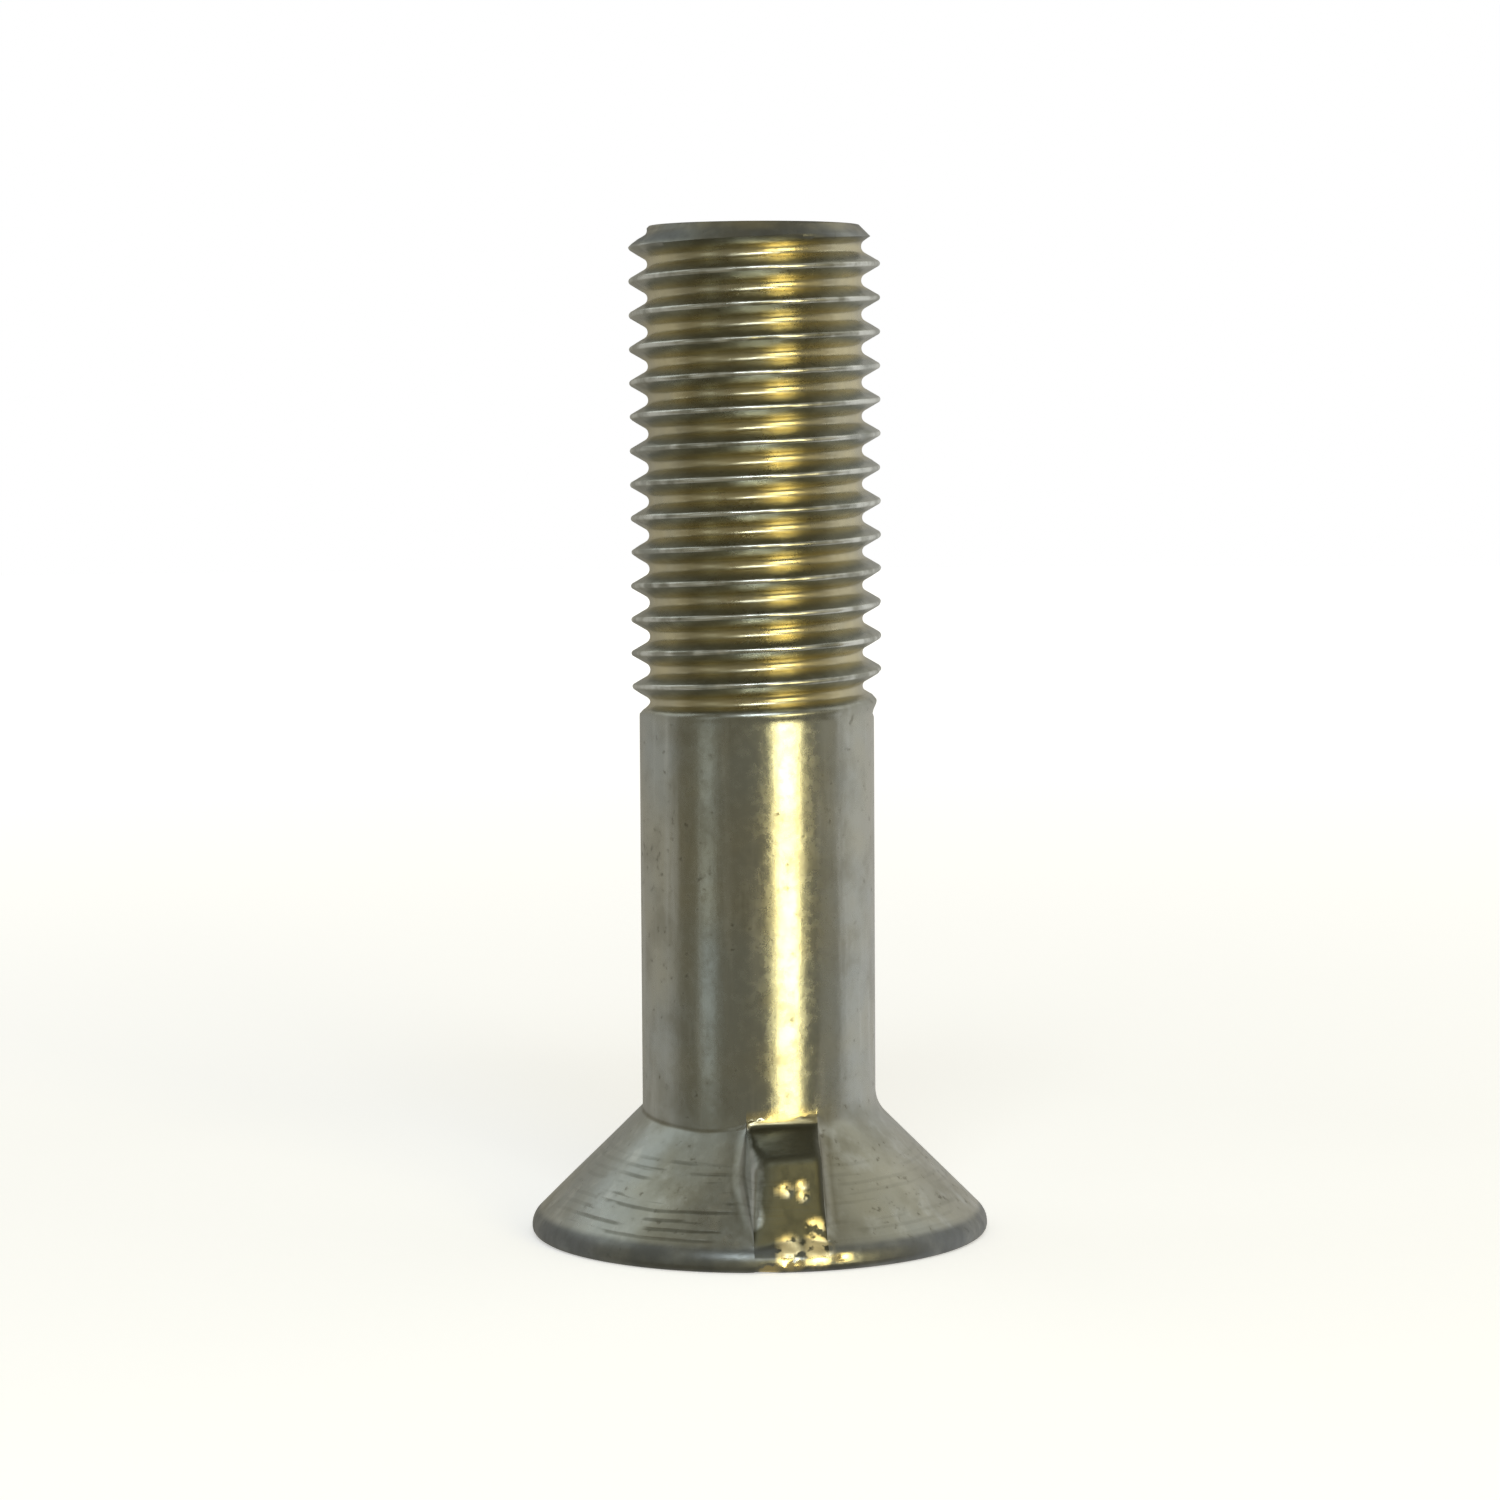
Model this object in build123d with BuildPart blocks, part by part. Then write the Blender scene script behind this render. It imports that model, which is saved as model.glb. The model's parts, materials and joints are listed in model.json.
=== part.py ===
import os
from math import ceil, cos, radians, sin, tan

from build123d import *

# Countersunk nib bolt, cold forged and thread rolled in one piece, in millimetres
# The origin is the centre of the head's flat face, and +Z runs up the shank to the threaded tip.
# The nib under the head points along -Y.

# Lengths along the bolt
bolt_length = 31.75
thread_length = 15.45
runout_length = 1.3

# Shank and the fillet at its neck
shank_diameter = 7.4
neck_fillet = 0.8

# Head: a countersunk cone with a narrow land round its rim, broken at both edges
head_diameter = 14.5
countersink_angle = 90.0
rim_land = 0.5
rim_upper_chamfer = 0.25
rim_lower_chamfer = 0.12

# Thread: right-handed, of 60 degree form, 24 turns to the inch
thread_diameter = 7.9
thread_pitch = 25.4 / 24
thread_depth = 0.59
thread_angle = 60.0
crest_below_tip = 1.16
tip_chamfer = 0.65
shank_end_angle = 45.0

# Nib: a drafted rib that keeps the bolt from turning in its countersunk seat
nib_face_width = 1.62
nib_side_draft = 8.0
nib_inset = 0.15
nib_top_slope = 13.0
nib_nose_radius = 1.6
nib_edge_radius = 0.2
nib_root_fillet = 0.35

# How far a hidden end runs on inside the metal, and a cutting outline runs clear of it
overlap = 0.1

head_radius = head_diameter / 2
shank_radius = shank_diameter / 2
crest_radius = thread_diameter / 2
root_radius = crest_radius - thread_depth
cone_slope = tan(radians(countersink_angle / 2))

# Height at which the cone would meet the shank without its fillet
neck_height = rim_land + (head_radius - shank_radius) / cone_slope


# Nib: its side runs out from the neck and over a round nose down to the rim, its plan tapers outwards
nib_inner = shank_radius / 2
nib_reach = head_radius - nib_inset
nib_outer_half = nib_face_width / 2
nib_inner_half = nib_outer_half + (nib_reach - nib_inner) * tan(radians(nib_side_draft))
nib_bottom = rim_land / 2
nib_top_inner = neck_height + (shank_radius - nib_inner) * tan(radians(nib_top_slope))
nib_top_outer = neck_height - (nib_reach - shank_radius) * tan(radians(nib_top_slope))
with BuildPart() as nib:
    with BuildSketch(Plane.YZ) as nib_side:
        with BuildLine():
            Polyline(
                (-nib_inner, nib_bottom),
                (-nib_inner, nib_top_inner),
                (-nib_reach, nib_top_outer),
                (-nib_reach, nib_bottom),
                close=True,
            )
        make_face()
        nose = nib_side.vertices().sort_by_distance((-nib_reach, nib_top_outer))[0]
        fillet(nose, nib_nose_radius)
    extrude(amount=nib_inner_half, both=True)
    with BuildSketch(Plane.XY):
        with BuildLine():
            Polyline(
                (-nib_inner_half, -nib_inner),
                (-nib_outer_half, -nib_reach),
                (nib_outer_half, -nib_reach),
                (nib_inner_half, -nib_inner),
                close=True,
            )
        make_face()
    extrude(amount=nib_top_inner, mode=Mode.INTERSECT)
    # The outer edges run along the two sides, over the top and down the front
    sides = nib.faces().sort_by(Axis.X)
    outline = sides[0].edges() + sides[-1].edges()
    hidden = nib.faces().sort_by(Axis.Z)[0].edges() + nib.faces().sort_by(Axis.Y)[-1].edges()
    fillet(outline - hidden, nib_edge_radius)


# Head: a full cone that runs on inside the shank, with the nib blended into it, then turned to its rim
cone_top_radius = shank_radius / 2
cone_top = neck_height + (shank_radius - cone_top_radius) / cone_slope
sharp_radius = head_radius + rim_land * cone_slope
shoulder_height = rim_land + rim_upper_chamfer
shoulder_radius = sharp_radius - shoulder_height * cone_slope
with BuildPart() as head:
    with BuildSketch(Plane.XZ):
        with BuildLine():
            Polyline(
                (0, 0),
                (sharp_radius, 0),
                (cone_top_radius, cone_top),
                (0, cone_top),
                close=True,
            )
        make_face()
    revolve(axis=Axis.Z)
    add(nib.part)
    fillet(head.edges(Select.NEW), nib_root_fillet)
    with BuildSketch(Plane.XZ):
        with BuildLine():
            Polyline(
                (head_radius - rim_lower_chamfer - overlap, -overlap),
                (head_radius, rim_lower_chamfer),
                (head_radius, rim_land - rim_upper_chamfer),
                (shoulder_radius, shoulder_height),
                (sharp_radius + overlap, shoulder_height),
                (sharp_radius + overlap, -overlap),
                close=True,
            )
        make_face()
    revolve(axis=Axis.Z, mode=Mode.SUBTRACT)


# Threaded rod: one turn of the rolled ridge, repeated up a core of the root diameter
runout_bottom = bolt_length - thread_length
runout_top = runout_bottom + runout_length
turns_below = ceil((bolt_length - crest_below_tip - runout_bottom) / thread_pitch)
first_crest = bolt_length - crest_below_tip - turns_below * thread_pitch
turns = ceil((bolt_length - first_crest) / thread_pitch) + 1
flank_slope = tan(radians(thread_angle / 2))
ridge_foot = root_radius - overlap / 2
ridge_foot_half = (crest_radius - ridge_foot) * flank_slope
with BuildPart() as ridge_turn:
    with BuildLine():
        Helix(thread_pitch, thread_pitch, root_radius, center=(0, 0, first_crest))
    with BuildSketch(Plane.XZ):
        with BuildLine():
            Polyline(
                (ridge_foot, first_crest - ridge_foot_half),
                (crest_radius, first_crest),
                (ridge_foot, first_crest + ridge_foot_half),
                close=True,
            )
        make_face()
    sweep(is_frenet=True)

# The rolled ridge fades out over the shank and is chamfered at the tip
rod_bottom = runout_bottom - thread_pitch
hidden_radius = shank_radius - overlap
runout_slope = (crest_radius - hidden_radius) / runout_length
clear_radius = crest_radius + overlap
with BuildPart() as rod:
    with Locations((0, 0, rod_bottom)):
        Cylinder(root_radius, bolt_length + thread_pitch - rod_bottom, align=(Align.CENTER, Align.CENTER, Align.MIN))
    with Locations([(0, 0, turn * thread_pitch) for turn in range(turns)]):
        add(ridge_turn.part)
    with BuildSketch(Plane.XZ):
        with BuildLine():
            Polyline(
                (0, rod_bottom),
                (hidden_radius, rod_bottom),
                (hidden_radius, runout_bottom),
                (clear_radius, runout_top + overlap / runout_slope),
                (clear_radius, bolt_length - tip_chamfer - overlap),
                (crest_radius - tip_chamfer, bolt_length),
                (0, bolt_length),
                close=True,
            )
        make_face()
    revolve(axis=Axis.Z, mode=Mode.INTERSECT)


# Bolt: the shank joins head and rod, with a fillet at its neck and a cone that ends inside the rod
neck_half_angle = radians(countersink_angle / 2)
neck_tangent = neck_fillet * tan(neck_half_angle / 2)
neck_strip = neck_fillet
shank_end_radius = root_radius - overlap
shank_end_top = runout_bottom + (shank_radius - shank_end_radius) / tan(radians(shank_end_angle))
with BuildPart() as bolt:
    add(head.part)
    with BuildSketch(Plane.XZ):
        with BuildLine():
            cone_side = (shank_radius + neck_tangent * sin(neck_half_angle), neck_height - neck_tangent * cos(neck_half_angle))
            shank_side = (shank_radius, neck_height + neck_tangent)
            # With this weight the curve is exactly the fillet's arc
            Bezier(cone_side, (shank_radius, neck_height), shank_side, weights=[1, cos(neck_half_angle / 2), 1])
            Polyline(
                shank_side,
                (shank_radius, runout_bottom),
                (shank_end_radius, shank_end_top),
                (0, shank_end_top),
                (0, neck_height - neck_strip),
                (shank_radius + neck_strip * cone_slope, neck_height - neck_strip),
                cone_side,
            )
        make_face()
    revolve(axis=Axis.Z)
    add(rod.part)

os.makedirs("parts", exist_ok=True)
bolt.part.label = "bolt"
export_step(bolt.part, "parts/bolt.step")
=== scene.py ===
import json
from math import asin, atan2, ceil, cos, hypot, pi, radians, sin, sqrt, tan

import bpy
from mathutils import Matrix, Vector, noise


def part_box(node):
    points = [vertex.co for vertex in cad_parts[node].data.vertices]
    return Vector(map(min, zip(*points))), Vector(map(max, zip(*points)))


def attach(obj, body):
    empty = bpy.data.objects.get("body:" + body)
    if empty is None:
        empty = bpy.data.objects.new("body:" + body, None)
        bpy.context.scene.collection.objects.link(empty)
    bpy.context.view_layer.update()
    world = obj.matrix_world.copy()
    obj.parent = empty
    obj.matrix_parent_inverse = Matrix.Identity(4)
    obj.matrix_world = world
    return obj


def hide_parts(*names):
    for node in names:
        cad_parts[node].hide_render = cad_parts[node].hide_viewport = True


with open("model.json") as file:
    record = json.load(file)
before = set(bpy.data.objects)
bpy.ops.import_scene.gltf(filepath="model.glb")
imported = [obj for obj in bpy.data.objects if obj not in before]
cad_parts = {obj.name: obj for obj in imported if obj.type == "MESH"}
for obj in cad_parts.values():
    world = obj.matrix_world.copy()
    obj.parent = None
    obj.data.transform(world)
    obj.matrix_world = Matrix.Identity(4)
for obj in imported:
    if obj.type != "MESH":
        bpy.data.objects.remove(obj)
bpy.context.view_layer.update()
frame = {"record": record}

bpy.ops.object.select_all(action="DESELECT")


# Head and shank: one steel blank, upset in a die from drawn wire. Its outline is turned here as
# a stack of rings, from the flat face that the bolt stands on, round the rim and up the countersink,
# through the neck to the plain shank.
mm = 0.001
mount_sizes = {mount["name"]: mount["dims"] for mount in frame["record"]["mounts"]}
blank_low, blank_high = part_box("bolt")
skin = 0.01 * mm
bolt_length = blank_high.z - skin
head_radius = (blank_high.x - blank_low.x) / 2 - skin
shank_radius = mount_sizes["shank"]["r_mm"] * mm
rim_land = 0.5 * mm
rim_lower_round = 0.22 * mm
rim_upper_round = 0.6 * mm
neck_round = 0.7 * mm
cone_lean = radians(45)
neck_height = rim_land + (head_radius - shank_radius) / tan(cone_lean)
thread_length = mount_sizes["thread"]["length_mm"] * mm
thread_start = bolt_length - thread_length
thread_joint = 0.1 * mm
columns = 192
rim_lower_rings, rim_upper_rings, cone_rings, neck_rings, shank_rings = 4, 7, 64, 8, 40


def arc_points(centre_radius, centre_height, radius, first_angle, last_angle, steps):
    angles = [first_angle + (last_angle - first_angle) * step / steps for step in range(steps + 1)]
    return [(centre_radius + radius * cos(angle), centre_height + radius * sin(angle)) for angle in angles]


def line_points(first, last, steps):
    """The points between two ends, without the ends."""
    return [
        (first[0] + (last[0] - first[0]) * step / steps, first[1] + (last[1] - first[1]) * step / steps)
        for step in range(1, steps)
    ]


def turn_rings(name, outline, ring_columns):
    """A closed disc at the outline's first point, drawn up and scaled ring by ring."""
    bpy.ops.mesh.primitive_circle_add(vertices=ring_columns, radius=outline[0][0], fill_type="NGON")
    turned = bpy.context.object
    turned.name = name
    bpy.ops.object.mode_set(mode="EDIT")
    bpy.ops.mesh.select_all(action="SELECT")
    bpy.ops.transform.translate(value=(0, 0, outline[0][1]))
    for (radius, height), (next_radius, next_height) in zip(outline, outline[1:]):
        bpy.ops.mesh.extrude_region_move(TRANSFORM_OT_translate={"value": (0, 0, next_height - height)})
        scale = next_radius / radius
        bpy.ops.transform.resize(value=(scale, scale, 1), center_override=(0, 0, next_height))
    return turned


rim_tangent = rim_upper_round * tan(cone_lean / 2)
neck_tangent = neck_round * tan(cone_lean / 2)
rim_lower_arc = arc_points(
    head_radius - rim_lower_round, rim_lower_round, rim_lower_round, -pi / 2, 0, rim_lower_rings
)
rim_upper_arc = arc_points(
    head_radius - rim_upper_round, rim_land - rim_tangent, rim_upper_round, 0, cone_lean, rim_upper_rings
)
neck_arc = arc_points(
    shank_radius + neck_round, neck_height + neck_tangent, neck_round, pi + cone_lean, pi, neck_rings
)
shank_end = (shank_radius, thread_start - thread_joint)
blank_outline = (
    rim_lower_arc
    + rim_upper_arc
    + line_points(rim_upper_arc[-1], neck_arc[0], cone_rings)
    + neck_arc
    + line_points(neck_arc[-1], shank_end, shank_rings)
    + [shank_end]
)
bolt = turn_rings("plated_bolt", blank_outline, columns)
# The last ring stays open for the thread
bpy.ops.mesh.delete(type="ONLY_FACE")
bpy.ops.object.mode_set(mode="OBJECT")


# Nib: a drafted rib forged out of the countersink along -Y, which keys into a notch in the seat.
# Its side view is a sloping top, a round nose and a front that leans back. The blank's columns are
# gathered to its sides, then lifted until they reach its outline, and its foot is blended into the cone.
nib_reach = 7.1 * mm
nib_nose_place = 6.1 * mm
nib_top_slope = radians(13)
nib_front_lean = radians(16)
nib_nose_round = 0.4 * mm
nib_front_round = 2.4 * mm
nib_neck_round = 0.28 * mm
nib_drop = 0.08 * mm
# The right side is drafted, and the left one flared, with a rounder corner towards the front
nib_outer_half = 0.85 * mm
nib_draft = radians(8)
nib_flared_half = 1.05 * mm
nib_flare = radians(6.5)
nib_wall_lean = radians(5)
nib_edge_round = 0.28 * mm
nib_corner_round = 0.8 * mm
nib_corner_start, nib_corner_run = 5.1 * mm, 1.1 * mm
nib_root_round = 0.36 * mm
nib_round_share = 0.45
nib_margin = 0.15 * mm
# Its lift dies away at the rim, and at its two upper corners, over the neck
nib_rim_run = 0.2 * mm
nib_shank_start, nib_shank_run = -0.05 * mm, 0.2 * mm
nib_corner_columns = 3

flat_columns, edge_columns, wall_columns, root_columns = 7, 6, 3, 5
edge_start = flat_columns
wall_start = edge_start + edge_columns
root_start = wall_start + wall_columns
margin_column = root_start + root_columns + 1
column_angle = 2 * pi / columns
spread_start, spread_run = neck_height + 0.6 * mm, 5 * mm

nib_out = nib_reach - shank_radius
nose_corner = (nib_nose_place - shank_radius, (shank_radius - nib_nose_place) * tan(nib_top_slope))
nose_spread = cos(nib_top_slope + nib_front_lean)
nose_out = nose_corner[0] + nib_nose_round * (sin(nib_front_lean) - cos(nib_top_slope)) / nose_spread
nose_up = nose_corner[1] + nib_nose_round * (sin(nib_top_slope) - cos(nib_front_lean)) / nose_spread
front_out = nib_out - nib_front_round
front_join = front_out + nib_front_round * cos(nib_front_lean)
front_drop = (front_join - nose_corner[0]) / tan(nib_front_lean)
front_up = nose_corner[1] - front_drop - nib_front_round * sin(nib_front_lean)
neck_up = (1 / cos(nib_top_slope) - tan(nib_top_slope)) * nib_neck_round


def past(value, start, run):
    """0 up to the start, 1 once the run is over, and an even curve between them."""
    share = min(max((value - start) / run, 0), 1)
    return share * share * (3 - 2 * share)


def nib_top(out):
    """Height of the nib's side view over the neck's corner, at a distance out from the shank."""
    if out < nib_neck_round * (1 - sin(nib_top_slope)):
        return neck_up - sqrt(max(nib_neck_round ** 2 - (nib_neck_round - out) ** 2, 0))
    if out < nose_out + nib_nose_round * sin(nib_top_slope):
        return -out * tan(nib_top_slope)
    if out < nose_out + nib_nose_round * cos(nib_front_lean):
        return nose_up + sqrt(max(nib_nose_round ** 2 - (out - nose_out) ** 2, 0))
    if out < front_join:
        return nose_corner[1] - (out - nose_corner[0]) / tan(nib_front_lean)
    return front_up + sqrt(max(nib_front_round ** 2 - (out - front_out) ** 2, 0))


def nib_lift(out, up):
    """How far a point of the blank moves out and up, alike, to reach the nib's side view."""
    halvings = 24
    low, high = 0, nib_out - out
    up += nib_drop
    if high <= 0 or up >= nib_top(max(out, 0)):
        return 0
    for _ in range(halvings):
        middle = (low + high) / 2
        if up + middle < nib_top(max(out + middle, 0)):
            low = middle
        else:
            high = middle
    return low


def nib_offset(column, half_width, foot, edge_round):
    """How far a column lies beside the nib's middle."""
    if column <= edge_start:
        return column / flat_columns * (half_width - edge_round)
    if column <= wall_start:
        turn = (column - edge_start) / edge_columns * pi / 2
        return half_width - edge_round * (1 - sin(turn))
    if column <= root_start:
        return half_width + (foot - half_width) * (column - wall_start) / wall_columns
    if column < margin_column:
        turn = (column - root_start) / root_columns * pi / 2
        return foot + nib_root_round * (1 - cos(turn))
    return foot + nib_root_round + nib_margin


def nib_rise(column, height, edge_round):
    """How far a column is lifted, for the nib's full height at that place."""
    edge = min(edge_round, nib_round_share * height)
    root = min(nib_root_round, nib_round_share * height)
    if column <= edge_start:
        return height
    if column <= wall_start:
        turn = (column - edge_start) / edge_columns * pi / 2
        return height - edge * (1 - cos(turn))
    if column <= root_start:
        share = (column - wall_start) / wall_columns
        return (height - edge) * (1 - share) + root * share
    if column < margin_column:
        turn = (column - root_start) / root_columns * pi / 2
        return root * (1 - sin(turn))
    return 0


# The die left the neck sharper to the left of the nib than to its right, and let it sag on the left
neck_sharp, neck_soft = 0.35, 1.7
neck_soft_start, neck_soft_run = -0.25, 0.9
neck_core, neck_zone = 0.35 * mm, 1.6 * mm
neck_sag = 0.35 * mm
neck_sag_side = radians(-48)
neck_sag_on_nib = 0.35
neck_sag_columns = margin_column - wall_start + 8
sag_low, sag_low_run = 1.2 * mm, 2.2 * mm
sag_high, sag_high_run = 4.2 * mm, 4 * mm

# Knocks that dent the nib's front and the rim, where a gold highlight is painted: place across and up, half
# width, half height
knocks = [
    (-0.35 * mm, 0.6 * mm, 0.42 * mm, 0.52 * mm),
    (0.5 * mm, 0.65 * mm, 0.48 * mm, 0.54 * mm),
    (0.5 * mm, 1.3 * mm, 0.34 * mm, 0.3 * mm),
    (-0.3 * mm, 0.3 * mm, 0.4 * mm, 0.26 * mm),
    (-0.36 * mm, 2.4 * mm, 0.24 * mm, 0.24 * mm),
    (0.14 * mm, 2.5 * mm, 0.2 * mm, 0.2 * mm),
    (0.16 * mm, 2.2 * mm, 0.2 * mm, 0.18 * mm),
    (-1 * mm, 0.14 * mm, 0.4 * mm, 0.2 * mm),
    (1.25 * mm, 0.4 * mm, 0.3 * mm, 0.14 * mm),
]
knock_depth = 0.05 * mm
knock_core, knock_run = 0.45, 0.75
knocked_front = 5.5 * mm
knocked_half = 1.8 * mm

# Where the finish and the painted light and shade change, up the bolt or away from an edge
full_nib = 0.5 * mm
# Band along the rim's edge that gets painted shade
rim_soot_band, rim_soot_run = 0.35 * mm, 0.2 * mm
# Painted shade on the nib: left off its left flank above the first height, kept between the next two
flank_oil_start, flank_oil_run = 1 * mm, 0.5 * mm
oil_low, oil_low_run = 0.35 * mm, 0.25 * mm
oil_high, oil_high_run = neck_height - 0.15 * mm, 0.15 * mm
# Painted shade in the neck's corner, stronger left of the nib, at the nib's foot and low on its left flank
neck_grime_start, neck_grime_run = 0.05 * mm, 0.3 * mm
flank_grime_top, flank_grime_run = 1.1 * mm, 0.6 * mm
# Band at the neck's height where the nib gets a painted gold highlight
straw_neck_height, straw_neck_half, straw_neck_run = neck_height + 0.05 * mm, 0.15 * mm, 0.15 * mm
battered_across, battered_level, battered_stretch = 0.05 * mm, 0.75 * mm, 1.25
battered_radius, battered_run, battered_front = 0.5 * mm, 0.6 * mm, 6 * mm
# Edge wear, and the strength of the painted shade at the nib's foot and low on its left flank
edge_wear, foot_grime, flank_grime = 0.3, 0.7, 0.9
neck_grime_left, neck_grime_right = 0.9, 0.25
# Besides wear and dents, these mark painted shade in creases, on the edges and on the nib, and painted gold
# highlights in the roots and on the knocks
finish_marks = ("worn", "grime", "soot", "battered", "oiled", "pooled", "rubbed")


def add_marks(mesh):
    """The plating's point attributes. All are made first, because a new one moves the others."""
    for mark in finish_marks:
        mesh.attributes.new(mark, "FLOAT", "POINT")
    return {mark: mesh.attributes[mark].data for mark in finish_marks}


def set_marks(marks, index, **values):
    for mark, value in values.items():
        marks[mark][index].value = value


blank_marks = add_marks(bolt.data)
for vertex in bolt.data.vertices:
    x, y, z = vertex.co
    radius = hypot(x, y)
    turn = atan2(x, -y)
    side = -1 if turn < 0 else 1
    column = round(abs(turn) / column_angle)

    # The neck is drawn in or let out about its corner
    out, up = radius - shank_radius, z - neck_height
    neck_gap = hypot(out, up)
    sharpness = neck_sharp + (neck_soft - neck_sharp) * past(sin(turn), neck_soft_start, neck_soft_run)
    neck_scale = 1 + (sharpness - 1) * (1 - past(neck_gap, neck_core, neck_zone))
    out, up = out * neck_scale, up * neck_scale
    radius, z = shank_radius + out, neck_height + up

    # The columns are gathered to the nib's sides
    height = nib_lift(out, up) / cos(cone_lean)
    reach = max(radius + height * cos(cone_lean), shank_radius)
    if side > 0:
        edge_round = nib_edge_round
        half_width = nib_outer_half + max(nib_nose_place - reach, 0) * tan(nib_draft)
    else:
        rounder = past(reach, nib_corner_start, nib_corner_run)
        edge_round = nib_edge_round + (nib_corner_round - nib_edge_round) * rounder
        half_width = nib_flared_half + (reach - shank_radius) * tan(nib_flare)
    foot = half_width + height * tan(nib_wall_lean)
    margin_angle = asin(nib_offset(margin_column, half_width, foot, edge_round) / radius)
    if column <= margin_column:
        gathered = asin(nib_offset(column, half_width, foot, edge_round) / radius)
    else:
        share = (column - margin_column) / (columns / 2 - margin_column)
        gathered = margin_angle + (pi - margin_angle) * share
    spread = past(z, spread_start, spread_run)
    angle = gathered + (column * column_angle - gathered) * spread
    x, y = side * radius * sin(angle), -radius * cos(angle)

    # The nib is lifted out of the cone
    if column < margin_column and y < 0:
        lift = nib_rise(column, nib_lift(-y - shank_radius, up) / cos(cone_lean), edge_round)
        lift *= 1 - past(radius, nib_reach - nib_rim_run / 2, nib_rim_run)
        outwards = past(column, edge_start - nib_corner_columns, edge_columns + nib_corner_columns)
        lift *= 1 - past(up, nib_shank_start, nib_shank_run) * outwards
        y, z = y - lift * cos(cone_lean), z + lift * cos(cone_lean)

    # The neck sags, and a knock dents the front
    sag = neck_sag * max(cos(turn - neck_sag_side), 0) ** 2
    sag *= neck_sag_on_nib + (1 - neck_sag_on_nib) * past(column, wall_start, neck_sag_columns)
    z -= sag * past(z, sag_low, sag_low_run) * (1 - past(z, sag_high, sag_high_run))
    knocked = 0
    if y < -knocked_front and abs(x) < knocked_half:
        for across, level, half_across, half_level in knocks:
            gap = hypot((x - across) / half_across, (z - level) / half_level)
            knocked = max(knocked, 1 - past(gap, knock_core, knock_run))
    vertex.co = (x, y + knocked * knock_depth, z)

    tall = past(height, 0, full_nib)
    on_nib = column <= wall_start
    on_edge = edge_start - 1 <= column <= wall_start
    at_foot = root_start <= column < margin_column
    on_left_flank = side < 0 and edge_start < column < root_start
    unoiled = past(column, edge_start, edge_columns) * past(z, flank_oil_start, flank_oil_run) * (side < 0)
    oil_band = past(z, oil_low, oil_low_run) * (1 - past(z, oil_high, oil_high_run))
    neck_share = neck_grime_left if side * column < margin_column else neck_grime_right
    straw_gap = abs(z - straw_neck_height)
    battered_gap = hypot((x - battered_across) / battered_stretch, z - battered_level)
    set_marks(
        blank_marks,
        vertex.index,
        worn=edge_wear * tall * on_edge,
        # painted shade along the rim's edge
        soot=past(radius, head_radius - rim_soot_band, rim_soot_run),
        # painted shade on the nib's face and top
        oiled=(1 - unoiled) * oil_band * on_nib,
        # painted shade in the neck's corner, at the nib's foot and low on its left flank
        grime=max(
            foot_grime * tall * at_foot,
            neck_share * (1 - past(neck_gap, neck_grime_start, neck_grime_run)),
            flank_grime * tall * (1 - past(z, flank_grime_top, flank_grime_run)) * on_left_flank,
        ),
        # painted gold highlight along the nib at the neck's height
        pooled=(1 - past(straw_gap, straw_neck_half, straw_neck_run)) * on_nib,
        battered=(1 - past(battered_gap, battered_radius, battered_run)) * (y < -battered_front),
        # painted gold highlight on the knocks
        rubbed=knocked,
    )


# Thread: rolled, right-handed, of 60 degree form with a rounded crest and root. One pitch of its
# outline is screwed up the bolt, cut flat at the tip, and pressed to the envelope: the crests die
# away onto the shank at the run-out and are turned back to a chamfer at the tip.
thread_pitch = 25.4 / 24 * mm
thread_depth = 0.59 * mm
flank_angle = radians(30)
crest_radius = mount_sizes["thread"]["r_mm"] * mm - skin
root_radius = crest_radius - thread_depth
crest_round = 0.1 * mm
root_round = thread_pitch / 2 / tan(flank_angle) - thread_depth - crest_round
root_steps, crest_steps, flank_steps = 4, 6, 2
crest_below_tip = 1.16 * mm
tip_chamfer = 0.65 * mm
crest_fade = 1.3 * mm
groove_fade = 0.6 * mm
merge_distance = 0.001 * mm
cut_tolerance = 0.0005 * mm
# The crests are dinted where the noise passes its threshold
crest_dint = 0.09 * mm
crest_dint_rate = 1.1 / mm
crest_dint_threshold = 0.05
dinted_depth, dinted_run = 0.15 * mm, 0.12 * mm
worn_depth, worn_run = 0.07 * mm, 0.06 * mm
pooled_depth, pooled_run = 0.04 * mm, 0.25 * mm
# Band at the tip whose chamfer gets painted shade
tip_soot_band, tip_soot_run = 0.75 * mm, 0.3 * mm

first_crest = bolt_length - crest_below_tip
while first_crest > thread_start - 1.5 * thread_pitch:
    first_crest -= thread_pitch
turns = ceil((bolt_length - first_crest) / thread_pitch) + 2

# The root's arc is turned half way round its centre, so that it lies towards the bolt's axis
root_centre = (root_radius + root_round, first_crest - thread_pitch / 2)
lower_root = [
    (2 * root_centre[0] - radius, 2 * root_centre[1] - height)
    for radius, height in arc_points(*root_centre, root_round, 0, flank_angle - pi / 2, root_steps)
]
crest_turn = pi / 2 - flank_angle
crest_arc = arc_points(
    crest_radius - crest_round, first_crest, crest_round, -crest_turn, crest_turn, crest_steps
)
upper_root = [(radius, 2 * first_crest - height) for radius, height in reversed(lower_root)]
pitch_outline = (
    lower_root
    + line_points(lower_root[-1], crest_arc[0], flank_steps)
    + crest_arc
    + line_points(crest_arc[-1], upper_root[0], flank_steps)
    + upper_root
)
outline_mesh = bpy.data.meshes.new("thread")
outline_mesh.from_pydata(
    [(radius, 0, height) for radius, height in pitch_outline],
    [(point, point + 1) for point in range(len(pitch_outline) - 1)],
    [],
)
thread = bpy.data.objects.new("thread", outline_mesh)
bpy.context.scene.collection.objects.link(thread)
bpy.ops.object.select_all(action="DESELECT")
bpy.context.view_layer.objects.active = thread
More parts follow.
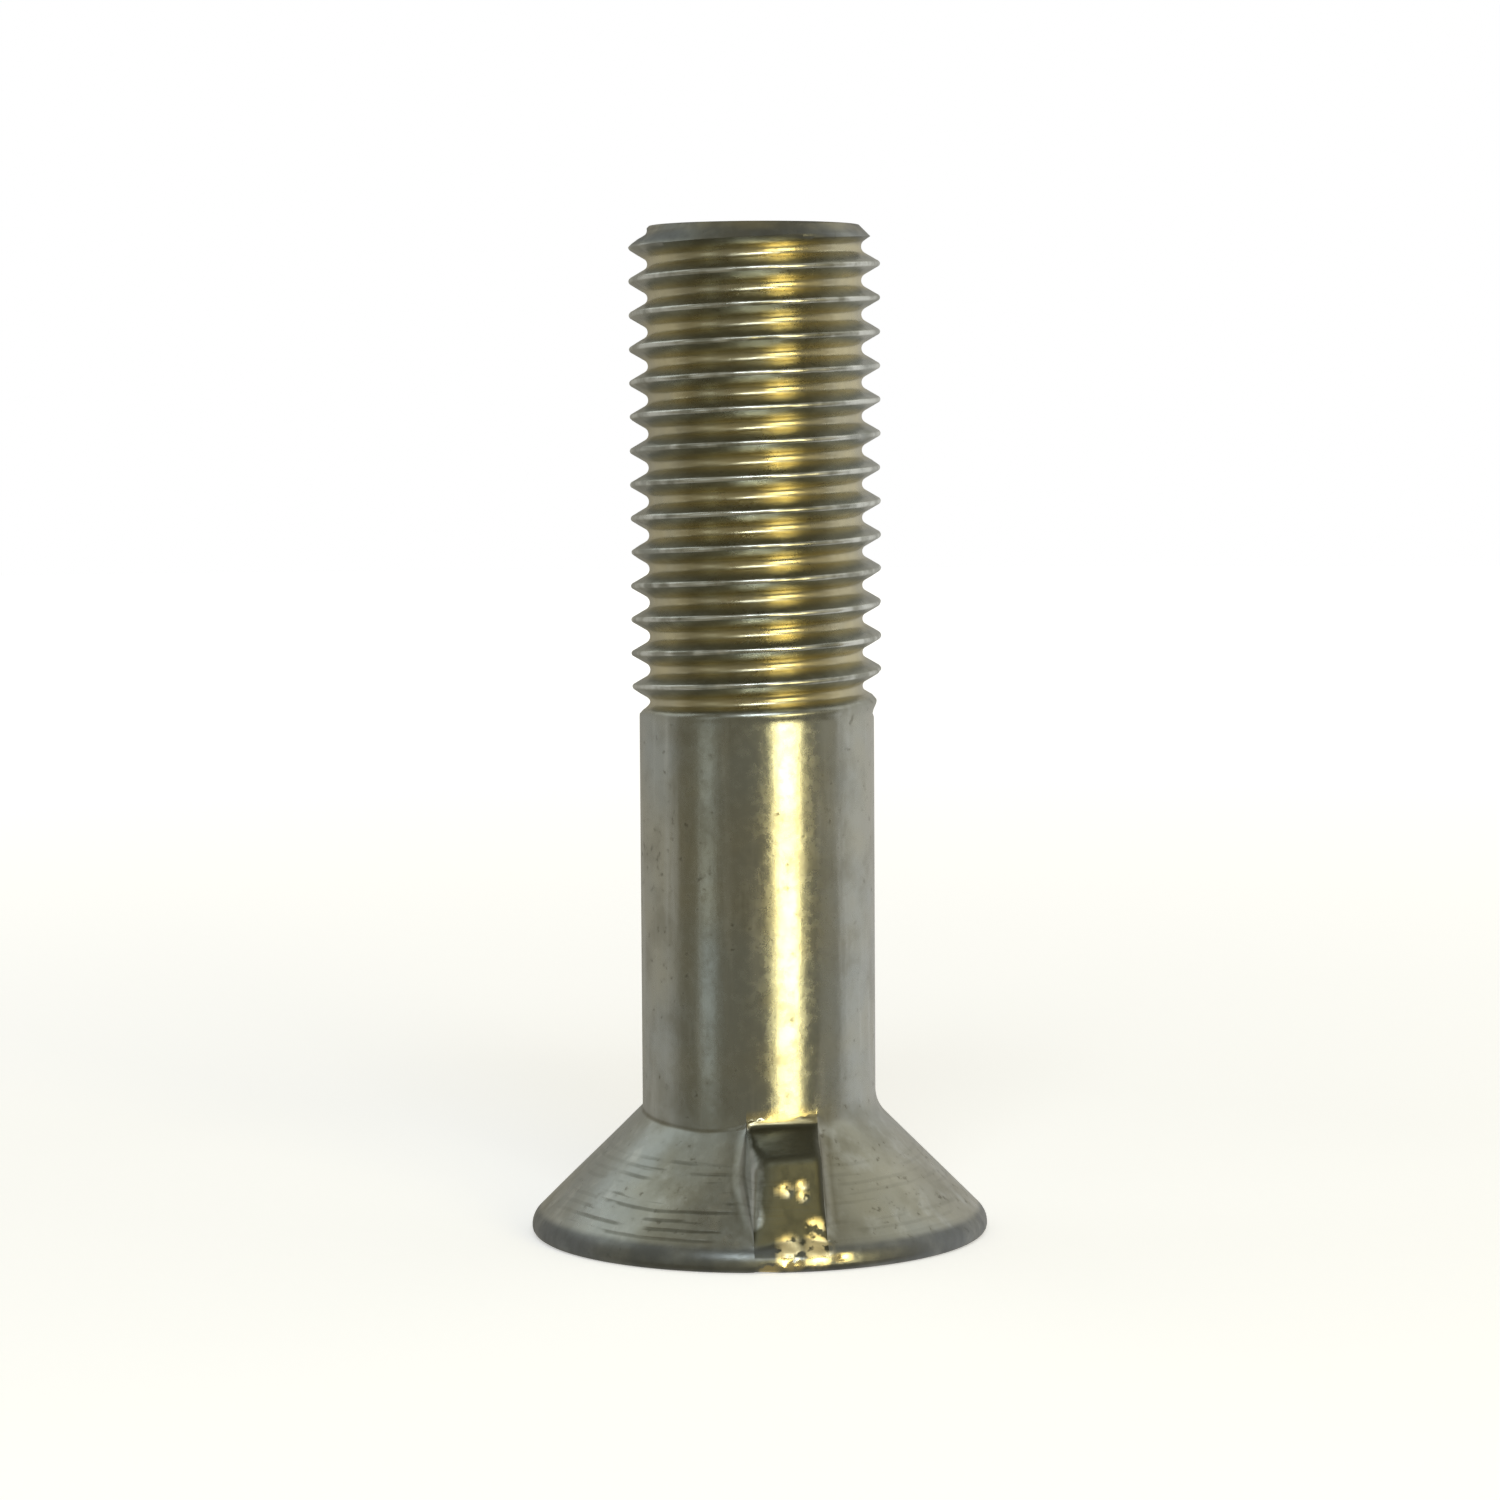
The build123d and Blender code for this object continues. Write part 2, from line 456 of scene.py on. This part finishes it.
thread.select_set(True)
rolling = thread.modifiers.new("rolling", "SCREW")
rolling.angle = 2 * pi
rolling.screw_offset = thread_pitch
rolling.iterations = turns
rolling.steps = columns
rolling.render_steps = columns
bpy.ops.object.modifier_apply(modifier=rolling.name)
bpy.ops.object.mode_set(mode="EDIT")
bpy.ops.mesh.select_all(action="SELECT")
bpy.ops.mesh.remove_doubles(threshold=merge_distance)
bpy.ops.mesh.select_all(action="SELECT")
bpy.ops.mesh.bisect(
    plane_co=(0, 0, bolt_length), plane_no=(0, 0, 1), clear_outer=True, use_fill=True, threshold=cut_tolerance
)
bpy.ops.mesh.select_all(action="SELECT")
bpy.ops.mesh.bisect(
    plane_co=(0, 0, thread_start), plane_no=(0, 0, 1), clear_inner=True, threshold=cut_tolerance
)
bpy.ops.object.mode_set(mode="OBJECT")

thread_marks = add_marks(thread.data)
for vertex in thread.data.vertices:
    x, y, z = vertex.co
    radius = hypot(x, y)
    fade = crest_fade if radius > shank_radius else groove_fade
    wanted = shank_radius + (radius - shank_radius) * past(z, thread_start, fade)
    wanted = min(wanted, crest_radius - tip_chamfer + bolt_length - z)
    dinted = max(noise.noise(vertex.co * crest_dint_rate) - crest_dint_threshold, 0)
    wanted -= crest_dint * dinted * past(wanted, crest_radius - dinted_depth, dinted_run)
    vertex.co = (x * wanted / radius, y * wanted / radius, z)
    set_marks(
        thread_marks,
        vertex.index,
        worn=past(wanted, crest_radius - worn_depth, worn_run),
        # painted gold highlight in the thread's roots
        pooled=1 - past(wanted, root_radius + pooled_depth, pooled_run),
        # painted shade over the tip's chamfer
        soot=past(z, bolt_length - tip_soot_band, tip_soot_run),
    )

# Thread and blank become one piece, closed where they meet
bpy.ops.object.select_all(action="DESELECT")
thread.select_set(True)
bolt.select_set(True)
bpy.context.view_layer.objects.active = bolt
bpy.ops.object.join()
bpy.ops.object.mode_set(mode="EDIT")
bpy.ops.mesh.select_mode(type="EDGE")
bpy.ops.mesh.select_all(action="DESELECT")
bpy.ops.mesh.select_non_manifold(
    extend=False,
    use_wire=False,
    use_boundary=True,
    use_multi_face=False,
    use_non_contiguous=False,
    use_verts=False,
)
bpy.ops.mesh.bridge_edge_loops()
bpy.ops.mesh.select_all(action="SELECT")
bpy.ops.mesh.normals_make_consistent(inside=False)
bpy.ops.object.mode_set(mode="OBJECT")
bpy.ops.object.shade_smooth_by_angle(angle=radians(55))

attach(bolt, "root")
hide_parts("bolt")


# Plating: dull zinc with a thin straw passivate, put on in a bath after the thread is rolled. It is
# mottled and pitted, streaked along the shank by the drawn wire and round the cone by the die, and
# bright where crests and edges are rubbed. Light and shade are also painted into its colour: a darker
# olive over the thread for the shade of its grooves, painted shade on the nib, in the neck's corner,
# at the nib's foot, along the rim's edge and over the tip's chamfer, and a painted gold highlight in
# the thread's roots, along the nib at the neck and on the knocks.
dull_zinc = (0.37, 0.39, 0.37)
straw_zinc = (0.395, 0.385, 0.31)
brown_mottle = (0.245, 0.235, 0.18)
pale_streak = (0.52, 0.53, 0.49)
pit_brown = (0.1, 0.09, 0.06)
scratch_brown = (0.1, 0.1, 0.075)
# Painted shade of the thread's grooves: a darker olive over the whole thread
thread_olive = (0.25, 0.255, 0.21)
# Painted gold highlight of the warm lamp, in the thread's roots and along the nib at the neck
root_straw = (0.56, 0.5, 0.31)
bright_zinc = (0.66, 0.67, 0.62)
# Painted shade in the neck's corner, at the nib's foot and on its left flank
grime_brown = (0.13, 0.115, 0.065)
# Painted shade on the nib's face and top
oil_olive = (0.09, 0.088, 0.062)
# Painted shade along the rim's edge and over the tip's chamfer
soot_grey = (0.13, 0.14, 0.145)
# Painted gold highlight on the knocks
rubbed_gold = (0.82, 0.7, 0.4)
relief_depth = 0.016 * mm
mottle_size, cloud_size, speck_size = 0.9 * mm, 3 * mm, 0.16 * mm
drawn_size, hammer_size, fine_size, dent_size = 0.35 * mm, 0.7 * mm, 0.09 * mm, 0.32 * mm
scratch_pitch = 0.245 * mm
scratch_wobble, scratch_wobble_size = 0.35 * mm, 2.5 * mm
scratch_size = 0.35 * mm
# Bands along the bolt, across it and towards its back: where each starts and where it ends
scratch_low, scratch_high = (0.7 * mm, 0.95 * mm), (2.7 * mm, 3.1 * mm)
scratch_left, scratch_front = (-1.3 * mm, -2.2 * mm), (-1.5 * mm, -3 * mm)
# The thread's painted shade comes in over the first band, and the neck's dullness over the second
thread_tint, neck_dull = (16.3 * mm, 16.9 * mm), (4.6 * mm, 3.8 * mm)

plating = bpy.data.materials.new("zinc_plate")
plating.use_nodes = True
plate_tree = plating.node_tree
plate_shader = plate_tree.nodes["Principled BSDF"]
plate_shader.inputs["Metallic"].default_value = 1


def add_node(tree, kind, *sockets, **settings):
    """A new node. Each socket is a value or an output, in the node's own order."""
    made = tree.nodes.new("ShaderNode" + kind)
    for name, value in settings.items():
        setattr(made, name, value)
    for number, socket in enumerate(sockets):
        if isinstance(socket, bpy.types.NodeSocket):
            tree.links.new(socket, made.inputs[number])
        else:
            made.inputs[number].default_value = socket
    return made


def combined(operation, *sockets):
    return add_node(plate_tree, "Math", *sockets, operation=operation).outputs[0]


def times(first, second):
    return combined("MULTIPLY", first, second)


def plus(first, second):
    return combined("ADD", first, second)


def grain(place, size, detail):
    """Noise whose patches are about size across."""
    made = add_node(plate_tree, "TexNoise", place)
    made.inputs["Scale"].default_value = 0.5 / size
    made.inputs["Detail"].default_value = detail
    made.inputs["Roughness"].default_value = 0.55
    return made.outputs["Fac"]


def between(value, low, high, first=0.0, last=1.0):
    """Goes from first to last, on an even curve, as the value goes from low to high."""
    made = add_node(plate_tree, "MapRange", value, low, high, first, last, interpolation_type="SMOOTHSTEP")
    return made.outputs[0]


def stretched(place, scale):
    return add_node(plate_tree, "Mapping", place, (0, 0, 0), (0, 0, 0), scale).outputs[0]


def mark_mask(mark):
    return add_node(plate_tree, "Attribute", attribute_name=mark).outputs["Fac"]


def tinted(mask, first, second):
    """Colour that goes from first to second as the mask goes from 0 to 1."""
    made = plate_tree.nodes.new("ShaderNodeMix")
    made.data_type = "RGBA"
    plate_tree.links.new(mask, made.inputs["Factor"])
    for socket, colour in ((made.inputs["A"], first), (made.inputs["B"], second)):
        if isinstance(colour, bpy.types.NodeSocket):
            plate_tree.links.new(colour, socket)
        else:
            socket.default_value = (*colour, 1)
    return next(output for output in made.outputs if output.type == "RGBA")


place = add_node(plate_tree, "TexCoord").outputs["Object"]
across, back, height = add_node(plate_tree, "SeparateXYZ", place).outputs
worn, grime, soot, battered, oiled, pooled, rubbed = (mark_mask(mark) for mark in finish_marks)

mottle = grain(place, mottle_size, 6)
cloud = grain(place, cloud_size, 4)
speck = grain(place, speck_size, 3)
drawn = grain(stretched(place, (1, 1, 0.09)), drawn_size, 5)
hammer = grain(place, hammer_size, 3)
fine = grain(place, fine_size, 2)
dents = times(between(grain(place, dent_size, 0), 0.3, 0.7), battered)
pits = between(plus(speck, times(cloud, 0.25)), 0.75, 0.9)

# Scratches round the cone, mostly on the left of the nib
scratch_height = plus(height, times(grain(place, scratch_wobble_size, 2), scratch_wobble))
scratch_ring = combined("SINE", times(scratch_height, 2 * pi / scratch_pitch))
scratch_break = between(grain(stretched(place, (0.25, 0.25, 1.6)), scratch_size, 2), 0.47, 0.56)
scratch_band = times(between(height, *scratch_low), between(height, *scratch_high, 1, 0))
scratch_side = times(between(across, *scratch_left), between(back, *scratch_front))
scratch = times(between(scratch_ring, -0.1, 0.95), scratch_break)
scratch = times(times(scratch, scratch_band), combined("MAXIMUM", scratch_side, 0.25))

in_thread = between(height, *thread_tint)
at_neck = between(height, *neck_dull)
# Painted gold highlight in the thread's roots and along the nib at the neck
straw_pool = times(pooled, between(grain(place, 1.2 * mm, 3), 0.3, 0.65, 0.5, 1))
bright = times(worn, between(grain(place, 0.5 * mm, 3), 0.35, 0.6))
# Painted shade in the neck's corner, at the nib's foot and low on its left flank
dirt = times(grime, between(grain(place, 0.9 * mm, 4), 0.25, 0.6, 0.3, 0.65))
# Painted shade on the nib's face and top
oil = between(plus(oiled, times(grain(place, 0.3 * mm, 3), 0.5)), 0.5, 1)
# Painted shade along the rim's edge and over the tip's chamfer, kept off the knocks
rim_soot = times(combined("SUBTRACT", soot, rubbed), between(grain(place, 0.8 * mm, 4), 0.3, 0.6, 0.5, 0.85))
# Painted gold highlight on the knocks
rub = times(rubbed, between(grain(place, 0.19 * mm, 2), 0.36, 0.48))

base = tinted(between(cloud, 0.35, 0.65), dull_zinc, straw_zinc)
for mask, colour in (
    (between(mottle, 0.45, 0.75, 0, 0.6), brown_mottle),
    (between(drawn, 0.5, 0.72, 0, 0.6), pale_streak),
    (times(pits, 0.6), pit_brown),
    (times(scratch, 0.6), scratch_brown),
    # painted shade of the thread's grooves: darker olive over the thread
    (times(in_thread, 0.45), thread_olive),
    # painted gold highlight in the roots and at the neck
    (straw_pool, root_straw),
    (bright, bright_zinc),
    # painted shade in the creases
    (dirt, grime_brown),
    # painted shade on the nib
    (oil, oil_olive),
    # painted shade on the rim's edge and the tip
    (rim_soot, soot_grey),
    # painted gold highlight on the knocks
    (rub, rubbed_gold),
):
    base = tinted(mask, base, colour)
plate_tree.links.new(base, plate_shader.inputs["Base Color"])

rough = plus(between(mottle, 0.3, 0.7, 0.19, 0.28), between(speck, 0.4, 0.7, 0, 0.08))
for mask, added in (
    (combined("MAXIMUM", dirt, rim_soot), 0.15),
    (at_neck, 0.07),
    (in_thread, 0.05),
    (oil, 0.22),
    (rub, -0.15),
):
    rough = plus(rough, times(mask, added))
plate_tree.links.new(rough, plate_shader.inputs["Roughness"])

relief = hammer
for pattern, share in ((drawn, 0.35), (fine, 0.12), (pits, -0.2), (scratch, -0.5), (dents, 2.2)):
    relief = plus(relief, times(pattern, share))
bump = add_node(plate_tree, "Bump")
bump.inputs["Strength"].default_value = 1
bump.inputs["Distance"].default_value = relief_depth
plate_tree.links.new(relief, bump.inputs["Height"])
plate_tree.links.new(bump.outputs[0], plate_shader.inputs["Normal"])
bolt.data.materials.clear()
bolt.data.materials.append(plating)


# Floor: a sheet of white paper under the bolt. To the camera it brightens away from the bolt, until
# it meets the white behind it, and it keeps the bolt's shadow.
paper_radius = 600 * mm
paper_white = (0.85, 0.85, 0.85, 1)
paper_near, paper_far = 30 * mm, 330 * mm
paper_near_glow, paper_far_glow = 0.47, 0.98
bpy.ops.mesh.primitive_circle_add(vertices=96, radius=paper_radius, fill_type="NGON", location=(0, 0, -skin))
paper = bpy.context.object
paper.name = "paper"
bpy.ops.object.transform_apply(location=True)
paper_stock = bpy.data.materials.new("paper_white")
paper_stock.use_nodes = True
paper_tree = paper_stock.node_tree
paper_shader = paper_tree.nodes["Principled BSDF"]
paper_shader.inputs["Base Color"].default_value = paper_white
paper_shader.inputs["Roughness"].default_value = 0.9
paper_shader.inputs["Emission Color"].default_value = (1, 1, 1, 1)
paper_place = add_node(paper_tree, "TexCoord").outputs["Object"]
paper_distance = add_node(paper_tree, "VectorMath", paper_place, operation="LENGTH").outputs["Value"]
paper_glow = add_node(
    paper_tree, "MapRange", paper_distance, paper_near, paper_far, paper_near_glow, paper_far_glow
).outputs[0]
paper_seen = add_node(paper_tree, "LightPath").outputs["Is Camera Ray"]
paper_glow = add_node(paper_tree, "Math", paper_seen, paper_glow, operation="MULTIPLY").outputs[0]
paper_tree.links.new(paper_glow, paper_shader.inputs["Emission Strength"])
paper.data.materials.append(paper_stock)
paper.visible_glossy = False


# Camera: a long lens at the photograph's height and distance, a little to the left of the nib, with
# the bolt almost upright in the frame. Pixels are those of the photograph's frame.
frame_pixels = 1500
focal_pixels = 4127
eye_line = 424
axis_column = 757
sensor_width = 36
camera_distance = 130 * mm
camera_height = 25.56 * mm
camera_turn = radians(-10.3)
camera_roll = radians(-0.35)
ahead = Vector((-sin(camera_turn), cos(camera_turn), 0))
right = Vector((cos(camera_turn), sin(camera_turn), 0))
drop = (frame_pixels / 2 - eye_line) / focal_pixels
aside = (axis_column - frame_pixels / 2) / focal_pixels
camera_data = bpy.data.cameras.new("camera")
camera_data.sensor_width = sensor_width
camera_data.lens = focal_pixels / frame_pixels * sensor_width
camera_data.clip_start = 5 * mm
camera = bpy.data.objects.new("camera", camera_data)
bpy.context.scene.collection.objects.link(camera)
camera.location = -ahead * camera_distance + Vector((0, 0, camera_height))
aim = ahead - right * aside - Vector((0, 0, drop))
camera.rotation_euler = aim.to_track_quat("-Z", "Y").to_euler()
camera.rotation_euler.rotate_axis("Z", camera_roll)
bpy.context.scene.camera = camera


# Lamps: a tall warm strip to the right of the camera, a cool soft box over it, and pale light at the
# sides, all at the same distance from the middle of the bolt.
lamp_distance = 280 * mm


def lamp(name, turn, rise, width, height, brightness, colour):
    """An area lamp that faces the bolt. turn is to the right of the camera and rise is above it."""
    data = bpy.data.lights.new(name, "AREA")
    data.shape = "RECTANGLE"
    data.size = width
    data.size_y = height
    data.color = colour
    data.energy = brightness * pi * width * height
    made = bpy.data.objects.new(name, data)
    bpy.context.scene.collection.objects.link(made)
    angle, rise = camera_turn + radians(turn), radians(rise)
    away = Vector((sin(angle) * cos(rise), -cos(angle) * cos(rise), sin(rise)))
    made.location = away * lamp_distance + Vector((0, 0, bolt_length / 2))
    made.rotation_euler = (-away).to_track_quat("-Z", "Y").to_euler()
    made.visible_camera = False


lamp("warm_window", 29, 3, 118 * mm, 170 * mm, 7.5, (1, 0.86, 0.43))
lamp("cool_top", 2, 40, 150 * mm, 70 * mm, 8, (0.86, 0.94, 1))
lamp("left_front", -50, 5, 70 * mm, 220 * mm, 0.45, (0.84, 0.95, 1))
lamp("left_above", -118, 46, 260 * mm, 160 * mm, 0.6, (0.88, 0.97, 1))
lamp("right_side", 72, 8, 90 * mm, 220 * mm, 0.22, (1, 0.97, 0.9))
lamp("right_above", 112, 48, 260 * mm, 160 * mm, 0.45, (0.97, 1, 0.98))


# Room: dim and warm in front, and white behind the bolt, brighter to the right. The camera sees only
# the white, and the plating shows it where it stands.
room_colour = (0.255, 0.235, 0.175, 1)
world = bpy.data.worlds.new("room")
world.use_nodes = True
room_tree = world.node_tree
room = room_tree.nodes["Background"]
room.inputs["Color"].default_value = room_colour
white = add_node(room_tree, "Background")
white.inputs["Color"].default_value = (1, 1, 1, 1)


def room_maths(operation, *sockets, **settings):
    return add_node(room_tree, "Math", *sockets, operation=operation, **settings).outputs[0]


def room_range(value, low, high, first, last, curve="LINEAR"):
    return add_node(room_tree, "MapRange", value, low, high, first, last, interpolation_type=curve).outputs[0]


room_way = add_node(room_tree, "TexCoord").outputs["Generated"]
room_back = add_node(room_tree, "VectorMath", room_way, ahead, operation="DOT_PRODUCT").outputs["Value"]
room_side = add_node(room_tree, "VectorMath", room_way, right, operation="DOT_PRODUCT").outputs["Value"]
room_rise = add_node(room_tree, "SeparateXYZ", room_way).outputs["Z"]
room_left = room_range(room_side, -0.9, -0.3, 0.42, 0.16)
room_right = room_range(room_side, -0.1, 0.9, 0, 0.66)
room_share = room_maths("ADD", room_left, room_right)
room_share = room_maths("MULTIPLY", room_share, room_range(room_back, -0.2, 0.15, 0, 1, "SMOOTHSTEP"))
room_share = room_maths("MULTIPLY", room_share, room_range(room_rise, 0.5, 0.75, 1, 0, "SMOOTHSTEP"))
room_path = add_node(room_tree, "LightPath").outputs
room_shown = room_maths("MULTIPLY", room_share, room_path["Is Glossy Ray"])
room_clear = room_maths("ADD", room_path["Is Camera Ray"], room_path["Is Transmission Ray"])
room_white = room_maths("ADD", room_shown, room_clear, use_clamp=True)
room_mix = add_node(room_tree, "MixShader", room_white)
room_tree.links.new(room.outputs[0], room_mix.inputs[1])
room_tree.links.new(white.outputs[0], room_mix.inputs[2])
room_tree.links.new(room_mix.outputs[0], room_tree.nodes["World Output"].inputs["Surface"])
bpy.context.scene.world = world
bpy.context.scene.view_settings.view_transform = "Standard"
